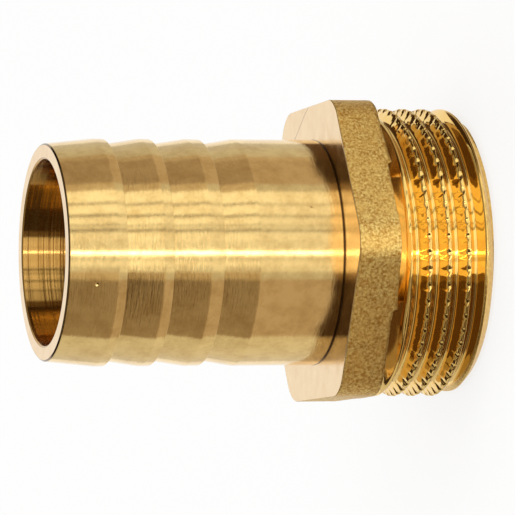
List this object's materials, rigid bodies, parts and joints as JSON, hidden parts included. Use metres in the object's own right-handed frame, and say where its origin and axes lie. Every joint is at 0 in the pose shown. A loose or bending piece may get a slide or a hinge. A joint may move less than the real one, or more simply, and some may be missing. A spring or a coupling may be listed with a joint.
{
  "type": "hose barb tail",
  "caption": "Brass hose tail with a barbed spigot and plain collar, a hexagon and a male parallel pipe thread, with one bore right through.",
  "frame": {"origin": "centre of the bore at the thread's end face, on which the fitting stands", "axes": "+Z along the bore towards the mouth of the hose end, two flats of the hexagon face +Y and -Y, two of its corners lie along X"},
  "size_m": [0.0378, 0.0338, 0.0487],
  "materials": {
    "brass": "turned, with as-forged hexagon sides"
  },
  "bodies": {
    "root": {"hose_tail": "brass"}
  },
  "joints": []
}
